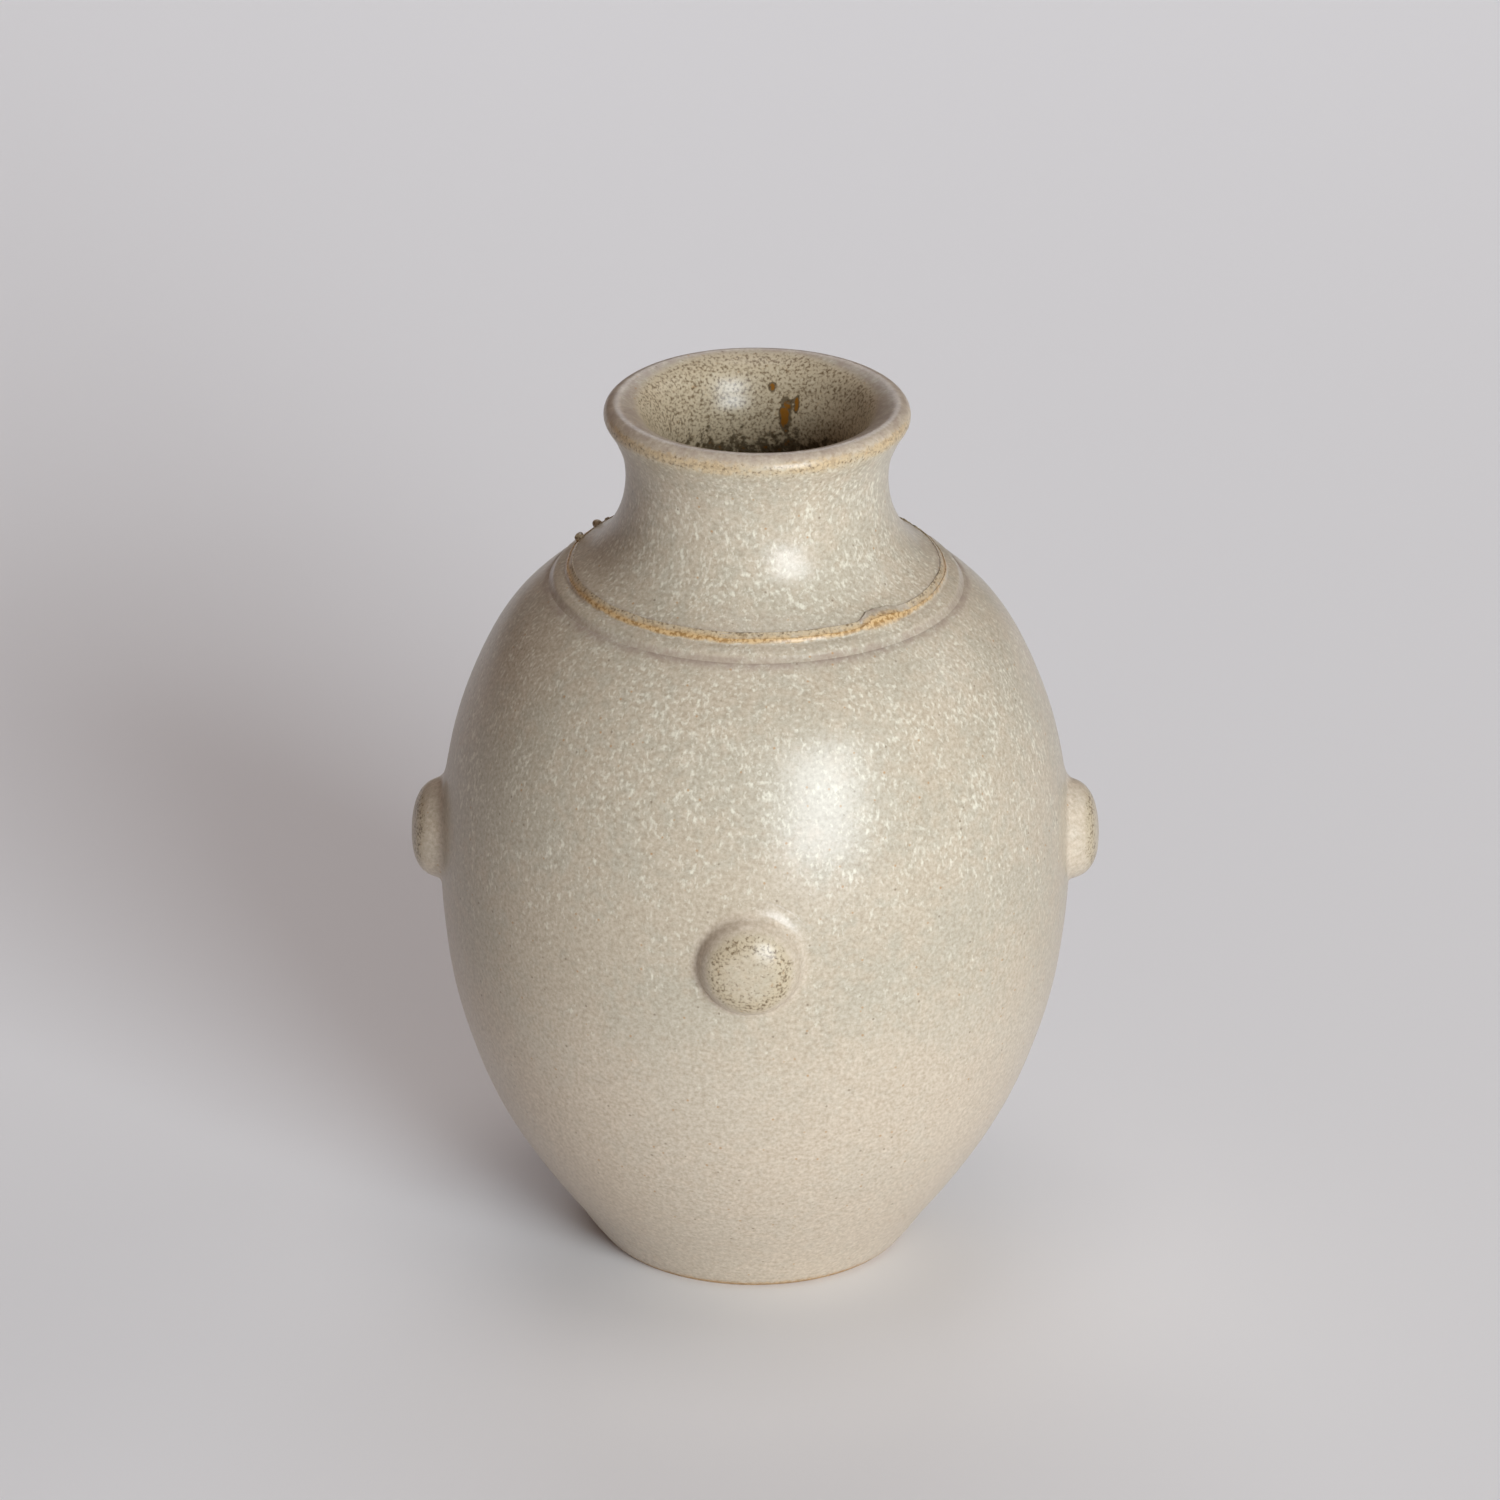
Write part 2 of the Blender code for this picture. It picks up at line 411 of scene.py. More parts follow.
# %% The iron
SPECK_DARK = "#6E5C47"
SPECK_ORANGE = "#A5763F"
IRON_YELLOW = "#BCAA8C"
IRON_BROWN = "#604B30"
DRIP_EDGE_AND_DEEP_SHADE = "#44341D"
DRIP_MIDDLE = "#86540E"
SPECK_SPACING = 1.8
SPECK_CHANCE = 0.38
ORANGE_CHANCE = 0.6
IRON_STRENGTH = 0.7
RAGGED_SIZE = 1.2
# Each mark's size, its threshold where iron is scarce and where it is full, and its colour.
IRON_MARKS = ((0.9, 0.66, 0.62, SPECK_ORANGE), (0.5, 0.62, 0.42, IRON_BROWN))
# The iron shares between which each part of a drip sets in, its strength and its colour.
# The same parts paint the deep shade of the mouth and of the inside of the body.
DRIP_PARTS = ((1.22, 1.5, 0.8, DRIP_EDGE_AND_DEEP_SHADE), (1.62, 1.85, 0.9, DRIP_MIDDLE))


def iron_specks(tree, still, colour):
    """The colour with a few dark and orange specks."""
    near = add(tree, "TexVoronoi", {"Vector": still, "Scale": 1 / SPECK_SPACING}, "Distance")
    lot = add(tree, "TexVoronoi", {"Vector": still, "Scale": 1 / SPECK_SPACING}, "Color")
    drawn = add(tree, "SeparateColor", {0: lot}, 0)
    kind = add(tree, "SeparateColor", {0: lot}, 1)
    round_speck = add(
        tree,
        "MapRange",
        {"Value": near, "From Min": 0.17, "From Max": 0.05, "To Max": 0.65},
        **SMOOTH,
    )
    has_one = add(tree, "Math", {0: drawn, 1: 1 - SPECK_CHANCE}, operation="GREATER_THAN")
    speck = add(tree, "Math", {0: round_speck, 1: has_one}, operation="MULTIPLY")
    orange = add(tree, "Math", {0: kind, 1: 1 - ORANGE_CHANCE}, operation="GREATER_THAN")
    paint = add(tree, "Mix", {0: orange, 6: linear(SPECK_DARK), 7: linear(SPECK_ORANGE)}, 2, **COLOUR)
    return add(tree, "Mix", {0: speck, 6: colour, 7: paint}, 2, **COLOUR)


def iron_glaze(tree, still, iron, colour):
    """The colour where the glaze took up iron; over 1, drips and painted deep shade."""
    share = add(tree, "Math", {0: iron, 1: IRON_STRENGTH}, operation="MULTIPLY", use_clamp=True)
    colour = add(tree, "Mix", {0: share, 6: colour, 7: linear(IRON_YELLOW)}, 2, **COLOUR)
    present = add(tree, "Math", {0: iron, 1: 3.0}, operation="MULTIPLY", use_clamp=True)
    for size, sparse, dense, paint in IRON_MARKS:
        field = add(tree, "TexNoise", {"Vector": still, "Scale": 1 / size, "Detail": 3.0})
        low = add(tree, "MapRange", {"Value": iron, "To Min": sparse, "To Max": dense})
        high = add(tree, "Math", {0: low, 1: 0.28}, operation="ADD")
        specks = add(
            tree,
            "MapRange",
            {"Value": field, "From Min": low, "From Max": high, "To Max": 0.85},
            **SMOOTH,
        )
        specks = add(tree, "Math", {0: specks, 1: present}, operation="MULTIPLY")
        colour = add(tree, "Mix", {0: specks, 6: colour, 7: linear(paint)}, 2, **COLOUR)
    ragged = add(tree, "TexNoise", {"Vector": still, "Scale": 1 / RAGGED_SIZE, "Detail": 4.0})
    ragged = add(tree, "MapRange", {"Value": ragged, "To Min": -0.8, "To Max": 0.8})
    # Where the iron share is raised deep in the mouth and inside the body, these parts paint shade.
    drip = add(tree, "Math", {0: iron, 1: ragged}, operation="ADD")
    for start, end, strength, paint in DRIP_PARTS:
        part = add(
            tree,
            "MapRange",
            {"Value": drip, "From Min": start, "From Max": end, "To Max": strength},
            **SMOOTH,
        )
        colour = add(tree, "Mix", {0: part, 6: colour, 7: linear(paint)}, 2, **COLOUR)
    return colour


# %% [markdown]
# ## Thin edges, full grooves, painted shade and sheen
#
# A glaze breaks over an edge: surface tension pulls it off, and the orange clay shows
# through what is left, in ragged patches with burnt brown spots. The same glaze gathers in
# a groove, where it fires darker. The same purple-brown is also painted as shade in the
# crease between the neck and the ring and inside the body, and as a pink-grey sheen on the
# lip. The noise that tears the edge is added to the painted share before the threshold, so
# the patches are ragged and still follow the edge.

# %% Edges, grooves, painted shade and sheen
CLAY_ORANGE = "#C6A577"
CLAY_BURNT = "#8F6A3A"
STAIN_SHADE_AND_SHEEN_PURPLE_BROWN = "#8F7C70"
TEAR_SIZE = 0.9
TEAR_DEPTH = 0.75
BURNT_SIZE = 0.6


def thin_edges(tree, still, thin, colour):
    """The colour with the clay showing where the glaze is thin."""
    tear = add(tree, "TexNoise", {"Vector": still, "Scale": 1 / TEAR_SIZE, "Detail": 3.0})
    tear = add(tree, "MapRange", {"Value": tear, "To Min": -TEAR_DEPTH, "To Max": TEAR_DEPTH})
    torn = add(tree, "Math", {0: thin, 1: tear}, operation="ADD")
    shows = add(
        tree, "MapRange", {"Value": torn, "From Min": 0.3, "From Max": 0.8, "To Max": 0.9}, **SMOOTH
    )
    spots = add(tree, "TexNoise", {"Vector": still, "Scale": 1 / BURNT_SIZE, "Detail": 2.0})
    spots = add(
        tree,
        "MapRange",
        {"Value": spots, "From Min": 0.42, "From Max": 0.62, "To Max": 0.85},
        **SMOOTH,
    )
    clay = add(tree, "Mix", {0: spots, 6: linear(CLAY_ORANGE), 7: linear(CLAY_BURNT)}, 2, **COLOUR)
    shows = add(tree, "Math", {0: shows, 1: thin}, operation="MULTIPLY", use_clamp=True)
    return add(tree, "Mix", {0: shows, 6: colour, 7: clay}, 2, **COLOUR)


def grooves_shade_and_sheen(tree, purple_brown_share, mottle, colour):
    """The colour turned purple-brown where the glaze has gathered, and as painted shade and sheen."""
    patchy = add(
        tree,
        "MapRange",
        {"Value": mottle, "From Min": 0.35, "From Max": 0.65, "To Min": 0.35},
        **SMOOTH,
    )
    share = add(tree, "Math", {0: purple_brown_share, 1: patchy}, operation="MULTIPLY", use_clamp=True)
    return add(tree, "Mix", {0: share, 6: colour, 7: linear(STAIN_SHADE_AND_SHEEN_PURPLE_BROWN)}, 2, **COLOUR)


# %% [markdown]
# ## The glaze as one material
#
# One material covers every glazed piece, as one bucket of glaze did. It reads Object
# coordinates, in which the pieces all share one origin, so the pattern runs on across the
# joints. A second copy of the coordinates is squeezed in height, which draws its marks out
# downwards, as the glaze ran.
#
# A glaze is a thin glass: a dielectric with an IOR near 1.5. Its crystals lie open at the
# surface, so less of it mirrors than in a clear glass, the gloss is satin, and the surface
# dimples by hundredths of a millimetre.

# %% The glaze material
RUN_STRETCH = 1.7
DIMPLE_SIZE = 1.8
DIMPLE_DEPTH = 0.06 * MM
GLOSS_OF_GLASS = 0.29
GLOSS_OF_CRYSTAL = 0.43


def stoneware_glaze(name):
    """A satin ash glaze on stoneware, dipped and fired in reduction."""
    material = bpy.data.materials.new(name)
    material.use_nodes = True
    tree = material.node_tree
    tree.nodes.clear()

    place = add(tree, "TexCoord", output="Object")
    per_mm = 1 / MM
    still = add(tree, "Mapping", {"Vector": place, "Scale": (per_mm, per_mm, per_mm)})
    run = add(tree, "Mapping", {"Vector": place, "Scale": (per_mm, per_mm, per_mm / RUN_STRETCH)})
    shares = add(tree, "Attribute", output="Color", attribute_name="glaze")
    iron = add(tree, "Attribute", output="Alpha", attribute_name="glaze")
    thin, thickness, purple_brown_share = (add(tree, "SeparateColor", {0: shares}, part) for part in range(3))

    colour, mottle, grain = glaze_ground(tree, still, thickness)
    colour, crystal = cream_crystals(tree, run, thickness, colour)
    colour = grooves_shade_and_sheen(tree, purple_brown_share, mottle, colour)
    colour = thin_edges(tree, still, thin, colour)
    colour = iron_specks(tree, still, colour)
    colour = iron_glaze(tree, still, iron, colour)

    gloss = add(
        tree, "MapRange", {"Value": crystal, "To Min": GLOSS_OF_GLASS, "To Max": GLOSS_OF_CRYSTAL}
    )
    dimples = add(tree, "TexNoise", {"Vector": still, "Scale": 1 / DIMPLE_SIZE, "Detail": 2.0})
    relief = add(tree, "Mix", {0: 0.3, 2: dimples, 3: grain})
    bump = add(tree, "Bump", {"Height": relief, "Distance": DIMPLE_DEPTH, "Strength": 0.4})
    glass = add(
        tree,
        "BsdfPrincipled",
        {
            "Base Color": colour,
            "Roughness": gloss,
            "IOR": 1.5,
            "Specular IOR Level": 0.35,
            "Normal": bump,
        },
    )
    add(tree, "OutputMaterial", {"Surface": glass})
    return material


ash_glaze = stoneware_glaze("speckled_ash_glaze")
print(f"{ash_glaze.name}: {len(ash_glaze.node_tree.nodes)} nodes")

# %% [markdown]
# ## Bare clay
#
# The potter wipes the glaze off the foot so that it doesn't stick to the kiln shelf. There
# the stoneware shows: toasted tan, dry to the touch, with grog up to a millimetre across.

# %% The bare clay
CLAY_TAN = "#A5855F"
CLAY_LIGHT = "#BB9C76"
GROG_SIZE = 0.8


def bare_stoneware(name):
    """Unglazed stoneware, wiped with a sponge and fired."""
    material = bpy.data.materials.new(name)
    material.use_nodes = True
    tree = material.node_tree
    tree.nodes.clear()
    place = add(tree, "TexCoord", output="Object")
    still = add(tree, "Mapping", {"Vector": place, "Scale": (1 / MM, 1 / MM, 1 / MM)})
    grog = add(tree, "TexNoise", {"Vector": still, "Scale": 1 / GROG_SIZE, "Detail": 4.0})
    share = add(tree, "MapRange", {"Value": grog, "From Min": 0.35, "From Max": 0.7}, **SMOOTH)
    colour = add(tree, "Mix", {0: share, 6: linear(CLAY_TAN), 7: linear(CLAY_LIGHT)}, 2, **COLOUR)
    colour = iron_specks(tree, still, colour)
    bump = add(tree, "Bump", {"Height": grog, "Distance": 0.1 * MM, "Strength": 0.7})
    clay = add(tree, "BsdfPrincipled", {"Base Color": colour, "Roughness": 0.78, "Normal": bump})
    add(tree, "OutputMaterial", {"Surface": clay})
    return material


bare_clay = bare_stoneware("bare_stoneware")

# %% [markdown]
# ## The body
#
# The body was thrown on the wheel, and a hand leaves its mark: the wall wavers by a tenth
# or two of a millimetre round the pot, fingers leave faint rings on the outside, and deeper
# ones on the inside, which climb in a spiral. A perfect solid of revolution looks machined,
# so the spun mesh is pushed in and out by those small amounts.
#
# The glaze stops under a millimetre above the ground. Below that line the wall steps in by
# the thickness of the glaze, and the underside carries the fine rings of the trimming tool.

# %% Turn the body
BODY_STEPS = 192
GLAZE_LINE = 0.7 * MM
GLAZE_THICKNESS = 0.15 * MM
TRIMMING_PITCH = 1.7 * MM
FINGER_PITCH = 6.5 * MM
FINGER_DEPTH = 0.3 * MM
BODY_WAVER = 0.14 * MM
seam_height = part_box("body")[1].z
belly_radius = max(point.x for point in sections["body"])
foot_radius = max(point.x for point in sections["body"] if point.z < 0.5 * MM)
seam_radius = max(point.x for point in sections["body"] if point.z > seam_height - 0.1 * MM)


def shape_body(bm):
    """Gives the spun body the waver and the rings of a thrown pot."""
    for vert in bm.verts:
        radius, heading, height = turned_place(vert.co)
        if radius < 0.01 * MM:
            continue
        outwards = Vector((vert.co.x, vert.co.y, 0)) / radius
        inside = vert.normal.dot(outwards) < 0
        clear_of_foot = soft_step(height, 4 * MM, 25 * MM)
        clear_of_seam = soft_step(height, seam_height, seam_height - 12 * MM)
        settled = clear_of_foot * clear_of_seam
        push = BODY_WAVER * settled * ripple(vert.co, 45 * MM)
        push += 0.03 * MM * settled * ripple(Vector((0, 0, height)), 5 * MM, 8)
        if inside and height > 12 * MM:
            spiral = math.sin(math.tau * (height / FINGER_PITCH + heading / 360))
            push += FINGER_DEPTH * settled * spiral
        vert.co += push * outwards
        line = GLAZE_LINE + 0.3 * MM * ripple(outwards, 0.5)
        if not inside and radius > foot_radius - 0.5 * MM:
            wiped = soft_step(height, line, line - 0.3 * MM)
            vert.co -= GLAZE_THICKNESS * wiped * outwards
        corner = bump_at(height, seam_height, 0.3 * MM) * bump_at(radius, seam_radius, 0.3 * MM)
        vert.co.z -= 0.12 * MM * corner
        if height < 1.5 * MM and radius < foot_radius - 4.5 * MM:
            vert.co.z += 0.08 * MM * math.sin(math.tau * radius / TRIMMING_PITCH)
    bm.normal_update()


def paint_body(co, normal):
    """The glaze shares of the body."""
    height = co.z
    outwards = Vector((co.x, co.y, 0)).normalized()
    # The inside of the body lies in shade; its glaze is painted dark iron-brown and purple-brown, as
    # painted shade.
    if normal.dot(outwards) < 0 and height > 5 * MM:
        return (0, 0.2, 0.3, 1.3)
    thin = 0.8 * soft_step(height, 1.9 * MM, 0.6 * MM)
    # Low on the body this share is small, so the ground is paler there: thinner glaze, and painted
    # bounce light from the floor.
    thickness = 0.22 + 0.62 * soft_step(height, 34 * MM, 100 * MM)
    purple_brown_share = 0.7 * soft_step(height, seam_height - 1.3 * MM, seam_height - 0.1 * MM)
    return (thin, thickness, purple_brown_share, 0)


def body_spacing(point):
    """Short steps at the foot, where the glaze line is, and longer ones above."""
    return 0.3 * MM if point.z < 3 * MM else 0.8 * MM


body = spin_section(smooth_section(sections["body"], body_spacing), BODY_STEPS)
shape_body(body)
for face in body.faces:
    middle = face.calc_center_median()
    wiped_foot = middle.z < GLAZE_LINE - 0.1 * MM
    underside = middle.z < 1.6 * MM and middle.xy.length < foot_radius - 3 * MM
    face.material_index = int(wiped_foot or underside)
body_tree = BVHTree.FromBMesh(body)
finish_piece(body, "body_glazed", "body", [ash_glaze, bare_clay], paint_body)

# %% [markdown]
# ## The neck
#
# The neck was thrown apart and luted on. It flares to a rounded lip that the glaze has
# pulled away from: the top of the lip is smooth, with a painted pink-grey sheen, the clay
# shows along its outer edge, and cream crystals crowd just under that edge. The inside took
# up iron, and it has three drips, one long and two short; lower down the mouth the glaze is
# darkened as painted shade.
#
# The lip's own angle places the bands. It is measured round the middle of the lip's curl,
# where 0 points straight out, 90 up and 180 in over the mouth.

# %% Turn the neck
NECK_STEPS = 320
LIP_ROUND = 2.3 * MM
NECK_WAVER = 0.12 * MM
lip_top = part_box("neck")[1].z
lip_radius = max(point.x for point in sections["neck"] if point.z > lip_top - 4 * MM)
neck_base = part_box("shoulder_ring")[1].z
curl_radius = lip_radius - LIP_ROUND
curl_height = lip_top - LIP_ROUND
# Each drip's heading, its depth under the lip, and its half width and half height.
DRIPS = (
    (73, 8.8 * MM, 1.1 * MM, 3.0 * MM),
    (82, 4.7 * MM, 0.7 * MM, 0.8 * MM),
    (67, 7.0 * MM, 0.5 * MM, 1.5 * MM),
)


def shape_neck(bm):
    """Lets the neck waver a little, and the lip rise and dip."""
    for vert in bm.verts:
        height = vert.co.z
        outwards = Vector((vert.co.x, vert.co.y, 0)) / turned_place(vert.co)[0]
        settled = soft_step(height, neck_base + 1.5 * MM, neck_base + 9 * MM)
        vert.co += NECK_WAVER * settled * ripple(vert.co, 22 * MM, 2) * outwards
        lip = soft_step(height, lip_top - 6 * MM, lip_top - 2 * MM)
        vert.co.z += NECK_WAVER * lip * (ripple(outwards, 0.6, 3) - 0.3)
    bm.normal_update()


def drip_share(radius, heading, height):
    """1 in the middle of an iron drip, 0 well outside every drip."""
    share = 0
    for drip_heading, depth, half_width, half_height in DRIPS:
        across = radius * math.radians(turn_between(heading, drip_heading)) / half_width
        along = (height - (lip_top - depth)) / half_height
        share = max(share, soft_step(math.hypot(across, along), 1.5, 0.3))
    return share


def paint_neck(co, normal):
    """The glaze shares of the neck."""
    radius, heading, height = turned_place(co)
    outwards = Vector((co.x, co.y, 0)).normalized()
    lip_angle = math.degrees(math.atan2(height - curl_height, radius - curl_radius))
    if normal.dot(outwards) < -0.15 and (lip_angle > 100 or height < curl_height):
        start = curl_radius - 2.8 * MM + 2.8 * MM * outwards.y + 0.6 * MM * ripple(outwards, 0.5, 8)
        iron = soft_step(radius, start, start - 1.6 * MM)
        # Deeper in the mouth the iron share is raised, which darkens the glaze as painted shade.
        painted_deep_shade = 0.5 * soft_step(height, lip_top - 8 * MM, lip_top - 16 * MM)
        # Near the lip, before the iron starts, the inside carries the painted pink-grey sheen.
        painted_pink_sheen = 0.6 * (1 - iron)
        return (0, 0.6, painted_pink_sheen, iron + max(painted_deep_shade, drip_share(radius, heading, height)))
    if height > curl_height - 2.5 * MM:
        torn = 0.78 + 0.5 * ripple(outwards, 0.35, 4)
        thin = torn * bump_at(lip_angle, 5, 36)
        thickness = 1.15 * soft_step(lip_angle, 45, -25)
        # The top of the lip carries a painted pink-grey sheen.
        painted_pink_sheen = 0.6 * soft_step(lip_angle, 5, 50)
        return (thin, thickness, painted_pink_sheen, 0.75 * bump_at(lip_angle, -4, 38))
    # Painted shade in the crease at the foot of the neck, against the crest of the ring.
    purple_brown_share = 0.6 * soft_step(height, neck_base + 1.1 * MM, neck_base + 0.5 * MM)
    return (0, 0.9, purple_brown_share, 0)


neck = spin_section(smooth_section(sections["neck"], lambda point: 0.45 * MM), NECK_STEPS)
shape_neck(neck)
finish_piece(neck, "neck_glazed", "neck", [ash_glaze], paint_neck)

# %% [markdown]
# ## The ring over the seam
#
# A coil of clay covers the seam, pressed flat towards the belly and pinched to a sharp
# crest against the neck. The glaze has run off the crest and left an orange line, and has
# gathered in the groove under it. In one place, at the front right, more clay was left on
# the crest, and three small lumps stand on it further back. Its inner side is sunk into the
# neck, so no gap shows between them.

# %% Turn the ring
RING_STEPS = 480
THICK_PLACE = -47
LUMP_HEADINGS = (22, 29, 35)
LUMP_HALF_WIDTH = 1.6
ring_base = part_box("shoulder_ring")[0].z
crest_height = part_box("shoulder_ring")[1].z
crest_radius = max(sections["shoulder_ring"], key=lambda point: point.z).x
toe_radius = max(point.x for point in sections["shoulder_ring"])


def thick_share(heading):
    """1 where most clay was left on the crest: a short steep end and a long thin one."""
    return soft_step(heading, THICK_PLACE - 10, THICK_PLACE - 5) * soft_step(
        heading, THICK_PLACE + 12, THICK_PLACE - 3
    )


def shape_ring(bm):
    """Hollows the band, lets its toe into the belly and makes the crest uneven."""
    for vert in bm.verts:
        radius, heading, height = turned_place(vert.co)
        outwards = Vector((vert.co.x, vert.co.y, 0)) / radius
        across = (radius - crest_radius) / (toe_radius - crest_radius)
        crest = bump_at(radius, crest_radius, 1.1 * MM)
        crest *= soft_step(height, ring_base + 1.2 * MM, crest_height)
        unevenness = 0.12 * ripple(vert.co, 5 * MM, 6) + 0.06 * ripple(vert.co, 1.6 * MM, 7)
        lumps = 0.2 * sum(
            bump_at(turn_between(heading, lump), 0, LUMP_HALF_WIDTH) for lump in LUMP_HEADINGS
        )
        thick = thick_share(heading) * (1 + 0.25 * ripple(vert.co, 1.5 * MM, 5))
        vert.co.z += crest * MM * (unevenness + lumps + 1.0 * thick)
        vert.co += crest * MM * 0.12 * ripple(vert.co, 3 * MM, 9) * outwards
        if height < ring_base + 0.02 * MM and across < 0.99:
            vert.co.z -= 0.7 * MM
        elif across > 0:
            hollow = 0.65 * soft_step(across, 0, 0.15) * soft_step(across, 1.05, 0.2)
            groove = 0.25 * bump_at(across, 0.93, 0.1)
            toe = soft_step(across, 0.85, 1)
            vert.co.z -= MM * (hollow + groove + 0.4 * toe)
            vert.co += 0.35 * MM * toe * outwards
        elif radius < crest_radius - 0.15 * MM:
            vert.co -= MM * (0.7 + 1.0 * thick) * outwards
            vert.co.z += 1.0 * MM * soft_step(height, ring_base + 1.0 * MM, ring_base + 2.0 * MM)
    bm.normal_update()


def paint_ring(co, normal):
    """The glaze shares of the ring and of the crumbs on it."""
    radius, heading, height = turned_place(co)
    thick = thick_share(heading)
    if height > crest_height + 0.25 * MM and thick < 0.02:
        return (0.5, 0.2, 0.3, 1.2)
    middle = crest_radius + 0.05 * MM
    thin = 1.25 * bump_at(radius, middle, (0.3 + 0.6 * thick) * MM)
    worn = 0.8 + 0.3 * math.cos(math.radians(heading + 120))
    worn += 0.3 * ripple(Vector((math.radians(heading), 0, 0)), 0.35, 12)
    groove = soft_step(height, ring_base + 0.9 * MM, ring_base + 0.1 * MM)
    # The ring's inner side, against the neck, is darkened as painted shade in the crease; the groove
    # at the toe is the glaze's own colour.
    painted_crease_shade = 0.7 * soft_step(radius, crest_radius - 0.35 * MM, crest_radius - 0.7 * MM)
    return (thin * worn, 0.75, max(0.5 * groove, painted_crease_shade), 0)


ring = spin_section(smooth_section(sections["shoulder_ring"], lambda point: 0.15 * MM), RING_STEPS)
shape_ring(ring)

# %% [markdown]
# ### Crumbs on the crest
#
# Three crumbs of clay stuck to the crest at the back left and were glazed over. Each is a
# small ball with its points pushed about, sunk by half in the crest.

# %% Stick the crumbs on
# Each crumb's heading, its radius, and how far it stands above the crest.
CRUMBS = ((148, 0.85 * MM, 0.15 * MM), (160.5, 0.85 * MM, 0.35 * MM), (143, 0.5 * MM, 0))
for heading, size, rise in CRUMBS:
    angle = math.radians(heading)
    middle = crest_radius - 0.1 * MM
    middle = Vector((middle * math.cos(angle), middle * math.sin(angle), crest_height + rise))
    crumb = bmesh.ops.create_icosphere(
        ring, subdivisions=3, radius=size, matrix=Matrix.Translation(middle)
    )
    for vert in crumb["verts"]:
        away = vert.co - middle
        vert.co = middle + away * (1 + 0.35 * ripple(away, size, heading))
ring.normal_update()
print(f"{len(CRUMBS)} crumbs on the crest")
finish_piece(ring, "ring_glazed", "shoulder_ring", [ash_glaze], paint_ring)

# %% [markdown]
# ## The bosses
#
# Four round pads of clay were pressed on where the belly is widest. Pressing leaves the
# face nearly flat and the shoulders round, and a wet finger run round the pad leaves a
# fillet that fades into the wall. A superellipse gives the pad's section, from the middle
# of the face to where the fillet takes over, and a Bezier span makes the fillet. The finger
# pressed hardest at the lower left of each pad: the fillet is tight there and wide opposite.
#
# The section is spun flat first. Then each point is carried to the real, slightly wavering
# wall by a ray, so the skirt lies on the belly all round, and its edge is sunk just under.
# The hidden back is closed last. Hands don't measure, so each boss sits a hair off its place.

# %% The section of a boss
BOSS_RADIUS = 8.35 * MM
BOSS_SQUARENESS = 2.5
FILLET_START = 1.3 * MM
SKIRT_RADIUS = 10.4 * MM
boss_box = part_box("boss_front")
boss_height = (boss_box[0].z + boss_box[1].z) / 2
boss_rise = -boss_box[0].y - belly_radius
print(f"the bosses stand {boss_rise / MM:.1f} mm out of the belly, {boss_height / MM:.1f} mm up")


def boss_line():
    """The section from the middle of the face to the end of the skirt, as (across, 0, lift)."""
    power = 2 / BOSS_SQUARENESS
    line = []
    for tenth_of_degree in range(900):
        turn = math.radians(tenth_of_degree / 10)
        lift = boss_rise * math.cos(turn) ** power
        point = Vector((BOSS_RADIUS * math.sin(turn) ** power, 0, lift))
        if lift < FILLET_START:
            break
        if not line or (point - line[-1]).length > 0.25 * MM:
            line.append(point)
    down = (line[-1] - line[-2]).normalized()
    skirt_end = Vector((SKIRT_RADIUS, 0, 0))
    handle = Vector((1.6 * MM, 0, 0))
    leaving = line[-1] + 0.9 * MM * down
    fillet = interpolate_bezier(line[-1], leaving, skirt_end - handle, skirt_end, 20)
    sunk_edge = Vector((SKIRT_RADIUS + 0.5 * MM, 0, -0.2 * MM))
    return line + fillet[1:] + [sunk_edge]


# %% Press the bosses on
BOSS_STEPS = 112
# Each boss's heading, and how far it sits above the common height.
BOSSES = {
    "boss_front": (-90.8, -0.9 * MM),
    "boss_right": (0, 0.3 * MM),
    "boss_back": (90.6, 0.1 * MM),
    "boss_left": (180, -0.1 * MM),
}


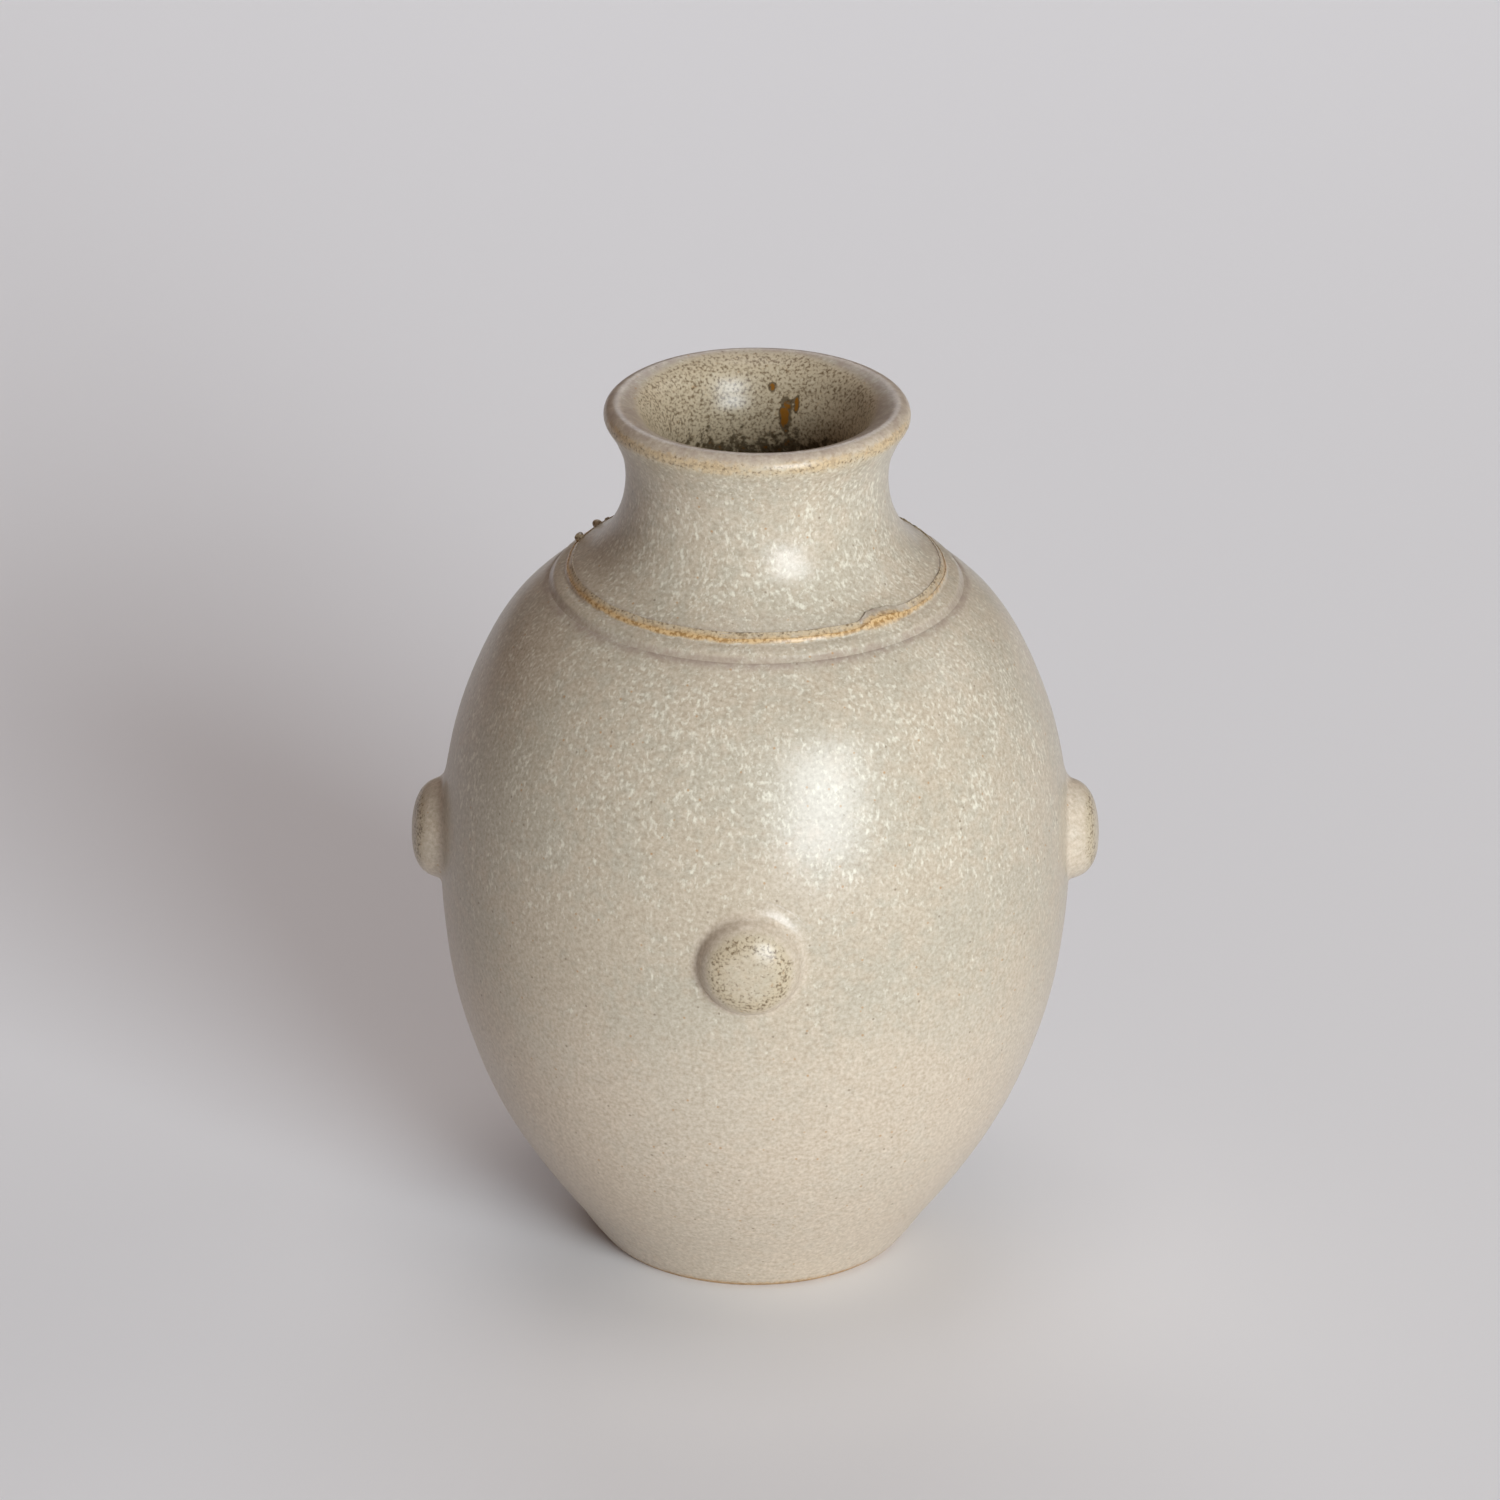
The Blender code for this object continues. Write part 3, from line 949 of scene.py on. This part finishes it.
def press_boss(name, heading, raised):
    """Makes one boss and lays it on the wall at that heading."""
    middle_height = boss_height + raised
    turn = Quaternion((0, 0, 1), math.radians(heading))
    outward = turn @ Vector((1, 0, 0))
    bm = spin_section(boss_line(), BOSS_STEPS)
    for vert in bm.verts:
        across, up, lift = vert.co
        distance = math.hypot(across, up)
        if distance > BOSS_RADIUS:
            towards_wide = (0.5 * across + 0.87 * up) / distance
            spread = BOSS_RADIUS + (distance - BOSS_RADIUS) * (1 + 0.5 * towards_wide)
            across *= spread / distance
            up *= spread / distance
        angle = across / belly_radius
        direction = turn @ Vector((math.cos(angle), math.sin(angle), 0))
        start = 2 * belly_radius * direction + Vector((0, 0, middle_height + up))
        wall, normal = body_tree.ray_cast(start, -direction)[:2]
        lift *= 1 + 0.05 * ripple(wall, 7 * MM, 11)
        vert.co = wall + lift * outward.lerp(normal, soft_step(lift, 2 * MM, 0)).normalized()
    bmesh.ops.holes_fill(bm, edges=[edge for edge in bm.edges if edge.is_boundary], sides=0)
    bmesh.ops.recalc_face_normals(bm, faces=bm.faces)
    bm.normal_update()
    middle = belly_radius * outward + Vector((0, 0, middle_height))

    def paint_boss(co, normal):
        """The glaze shares of a boss: iron specks on its shoulder, a smooth fillet."""
        away = co - middle
        distance = (away - away.dot(outward) * outward).length
        face_share = soft_step(distance, 7.6 * MM, 6.4 * MM)
        shoulder = bump_at(distance, 5.6 * MM, 1.5 * MM)
        skirt = soft_step(distance, 8.6 * MM, 10.6 * MM)
        thickness = 0.25 + 0.25 * face_share + 0.3 * skirt
        return (0, thickness, 0, 0.4 * face_share + 0.65 * shoulder)

    finish_piece(bm, name + "_glazed", name, [ash_glaze], paint_boss)


for name, (heading, raised) in BOSSES.items():
    press_boss(name, heading, raised)

# %% [markdown]
# ## The floor
#
# A wide sheet of pale matt paper. It isn't part of the vase, so it is only staged.

# %% Lay the paper
PAPER_COLOUR = "#EAE7E6"
PAPER_HALF_WIDTH = 6
floor_bm = bmesh.new()
bmesh.ops.create_grid(floor_bm, x_segments=1, y_segments=1, size=PAPER_HALF_WIDTH)
floor_mesh = bpy.data.meshes.new("paper_floor")
floor_bm.to_mesh(floor_mesh)
floor_bm.free()
floor = bpy.data.objects.new("paper_floor", floor_mesh)
bpy.context.scene.collection.objects.link(floor)
paper = bpy.data.materials.new("pale_matt_paper")
paper.use_nodes = True
paper_shader = paper.node_tree.nodes["Principled BSDF"]
paper_shader.inputs["Base Color"].default_value = linear(PAPER_COLOUR)
paper_shader.inputs["Roughness"].default_value = 0.9
floor_mesh.materials.append(paper)
floor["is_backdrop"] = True
print(f"{floor.name}: {2 * PAPER_HALF_WIDTH} m wide")

# %% [markdown]
# ## The light
#
# Two wide softboxes, one above the other, stand low at the front right, like a window with
# a bar across it beside a table. They draw the double bright patch on the belly, the ones on
# the neck and inside the mouth, and the long soft shadow. A weak softbox overhead and another
# at the right keep the shadow open, a last one lights the far end of the paper, and the room
# itself gives a little warm light.

# %% Light the vase
WARM_ROOM = "#FFDCD0"
world = bpy.data.worlds.new("studio")
bpy.context.scene.world = world
world.use_nodes = True
background = world.node_tree.nodes["Background"]
background.inputs["Color"].default_value = linear(WARM_ROOM)
background.inputs["Strength"].default_value = 0.12


def softbox(name, heading, elevation, distance, width, height, power, colour, target):
    """Stands an area light at that heading and elevation, turned to face the target."""
    light = bpy.data.lights.new(name, "AREA")
    light.shape = "RECTANGLE"
    light.size = width
    light.size_y = height
    light.energy = power
    light.color = linear(colour)[:3]
    lamp = bpy.data.objects.new(name, light)
    bpy.context.scene.collection.objects.link(lamp)
    turn, tilt = math.radians(heading), math.radians(elevation)
    flat = Vector((math.cos(turn), math.sin(turn), 0))
    away = math.cos(tilt) * flat + math.sin(tilt) * Vector((0, 0, 1))
    lamp.location = Vector(target) + distance * away
    lamp.rotation_mode = "QUATERNION"
    lamp.rotation_quaternion = (-away).to_track_quat("-Z", "Y")
    lamp.visible_camera = False
    print(f"{name}: {power} W at {distance} m")


MIDDLE = (0, 0, 0.08)
softbox("key_softbox_upper", -62, 21, 4, 1.85, 1.15, 129, "#EDF8FF", MIDDLE)
softbox("key_softbox_lower", -66, 6, 4, 1.85, 0.75, 84, "#EAF4FF", MIDDLE)
softbox("overhead_softbox", 0, 89, 4, 2, 2, 25, "#FFFAF8", MIDDLE)
softbox("side_softbox", 15, 30, 4, 2, 1.2, 10, "#FFFFFF", MIDDLE)
softbox("far_softbox", 90, 70, 0.9, 0.8, 0.8, 4.0, "#EEF6FF", (0, 0.75, 0))

# %% [markdown]
# ## The camera
#
# A long lens from well back, looking down at the vase by 24 degrees. It flattens the
# perspective, so the near and the far side of the lip keep their true proportions. The
# "Standard" view transform keeps the colours of the glaze as they are mixed.

# %% Place the camera
CAMERA_ELEVATION = 23.92
CAMERA_DISTANCE = 1.743
CAMERA_AIM = Vector((-0.0009, 0, 0.0871))
CAMERA_ROLL = 0.28
CAMERA_LENS = 250.8
camera_data = bpy.data.cameras.new("camera")
camera_data.lens = CAMERA_LENS
camera_data.sensor_width = 36
camera_data.clip_start = 0.05
camera = bpy.data.objects.new("camera", camera_data)
bpy.context.scene.collection.objects.link(camera)
tilt = math.radians(CAMERA_ELEVATION)
camera.location = CAMERA_AIM + CAMERA_DISTANCE * Vector((0, -math.cos(tilt), math.sin(tilt)))
camera.rotation_mode = "QUATERNION"
facing = (CAMERA_AIM - camera.location).to_track_quat("-Z", "Y")
camera.rotation_quaternion = facing @ Quaternion((0, 0, 1), math.radians(CAMERA_ROLL))
bpy.context.scene.camera = camera
bpy.context.scene.view_settings.view_transform = "Standard"
print(f"{camera.name}: {CAMERA_DISTANCE} m away, {CAMERA_ELEVATION} degrees up")

# %% [markdown]
# ## The size
#
# Both boxes are kept, the plain model's and the finished one's, to show that the finish
# hasn't changed the size.

# %% Write down both boxes and finish
visual_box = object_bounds()
for label, box in {"plain": cad_box, "finished": visual_box}.items():
    print(label, [round((high - low) / MM, 2) for low, high in zip(*box)], "mm")
